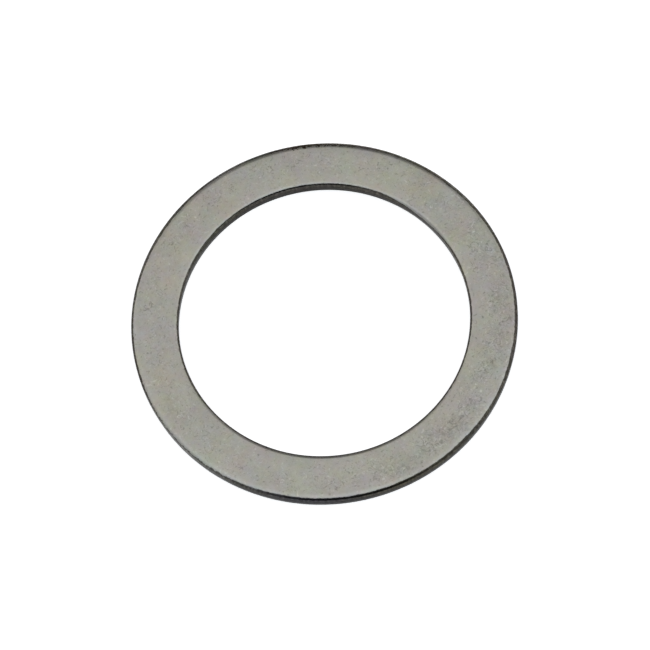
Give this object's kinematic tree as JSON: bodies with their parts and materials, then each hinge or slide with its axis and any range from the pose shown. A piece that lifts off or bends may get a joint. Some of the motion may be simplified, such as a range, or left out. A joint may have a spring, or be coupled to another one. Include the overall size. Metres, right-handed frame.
{
  "type": "washer",
  "caption": "Flat thin steel spacing washer: a narrow round ring with a large bore, ground faces and dark sheared edges.",
  "frame": {"origin": "centre of the lower face, on the axis of the bore", "axes": "+Z along the bore's axis, up through the upper face, where both sheared edges start with a die roll; the ring is the same all round, so X and Y are free"},
  "size_m": [0.04, 0.04, 0.0016],
  "materials": {
    "washer": "hardened steel: both faces ground and tumbled to a pale satin grey, the sheared rim and bore left with dark grey heat-treatment oxide"
  },
  "bodies": {
    "root": {"washer": "washer"}
  },
  "joints": []
}
